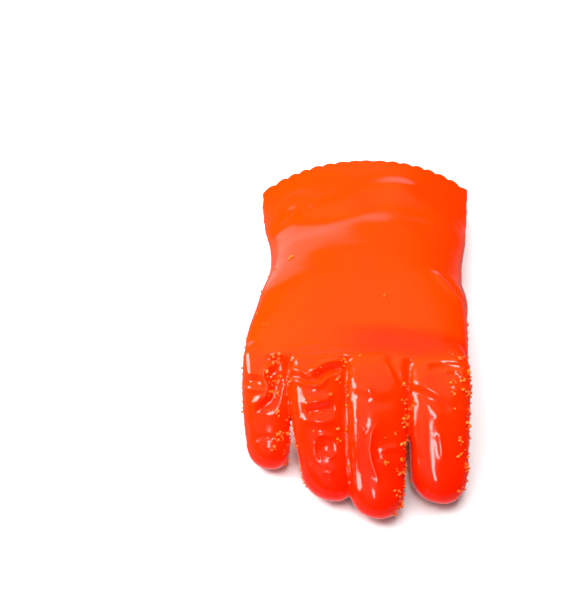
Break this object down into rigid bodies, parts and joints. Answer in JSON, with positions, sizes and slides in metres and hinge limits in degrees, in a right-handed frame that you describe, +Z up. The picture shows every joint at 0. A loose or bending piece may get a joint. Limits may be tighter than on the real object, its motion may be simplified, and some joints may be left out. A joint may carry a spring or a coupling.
{
  "type": "pvc coated work glove",
  "caption": "Thick dipped work glove with a gauntlet cuff, lying palm down with its thumb folded under the palm; rough crumb coat on the gripping side.",
  "frame": {"origin": "middle of the underside of the glove's box, on the surface that it lies on", "axes": "+Z up out of the back of the hand, +Y from the fingertips towards the open cuff, +X towards the index finger's side"},
  "size_m": [0.1368, 0.2778, 0.0522],
  "materials": {
    "pvc_smooth": "glossy orange dipped PVC, soft and smooth",
    "pvc_crumb": "coarse orange PVC crumb bonded to the shell"
  },
  "bodies": {
    "root": {"hand_shell": "pvc_smooth", "little_finger_shell": "pvc_smooth", "ring_finger_shell": "pvc_smooth", "middle_finger_shell": "pvc_smooth", "index_finger_shell": "pvc_smooth", "thumb_shell": "pvc_smooth", "palm_grip_coat": "pvc_crumb", "thumb_grip_coat": "pvc_crumb"}
  },
  "joints": []
}
